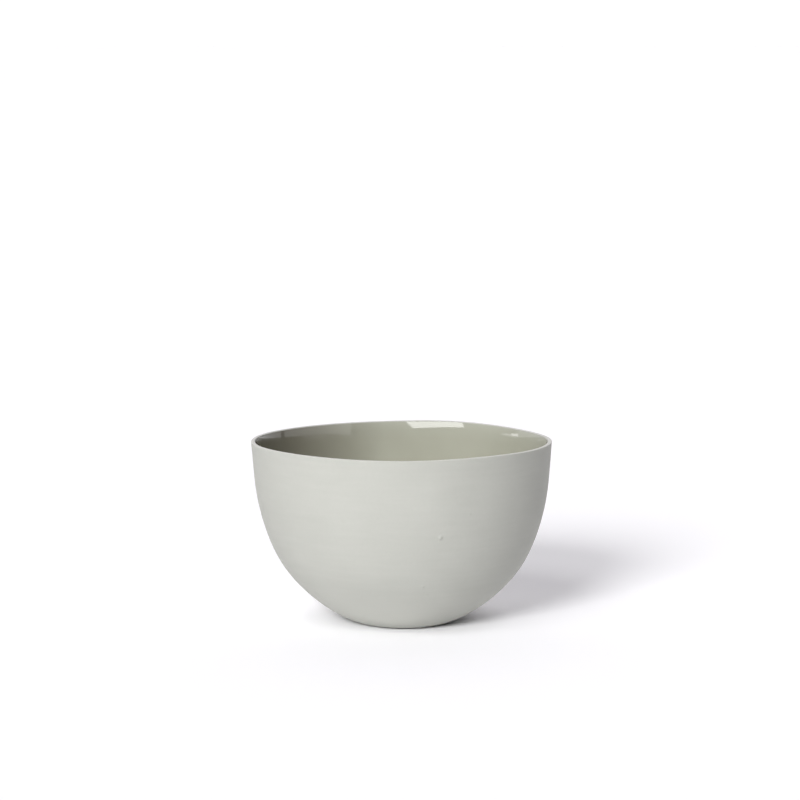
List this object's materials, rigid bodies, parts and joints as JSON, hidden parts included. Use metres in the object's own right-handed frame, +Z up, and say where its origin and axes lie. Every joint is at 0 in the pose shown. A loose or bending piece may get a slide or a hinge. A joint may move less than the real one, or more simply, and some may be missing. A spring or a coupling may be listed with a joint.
{
  "type": "noodle bowl",
  "caption": "Deep round porcelain noodle bowl with a steep upper wall and a small flat base, raw and matte outside, glossy glaze inside.",
  "frame": {"origin": "centre of the base, on the surface that the bowl stands on", "axes": "+Z up along the bowl's axis, with +X to the right and +Y away from the viewer in the picture"},
  "size_m": [0.15, 0.15, 0.0903],
  "materials": {
    "raw_porcelain": "unglazed, sanded smooth, matte pale warm grey",
    "clear_glaze": "clear glossy glaze that deepens the grey porcelain to olive grey"
  },
  "bodies": {
    "root": {"porcelain_body": "raw_porcelain", "glaze_lining": "clear_glaze"}
  },
  "joints": []
}
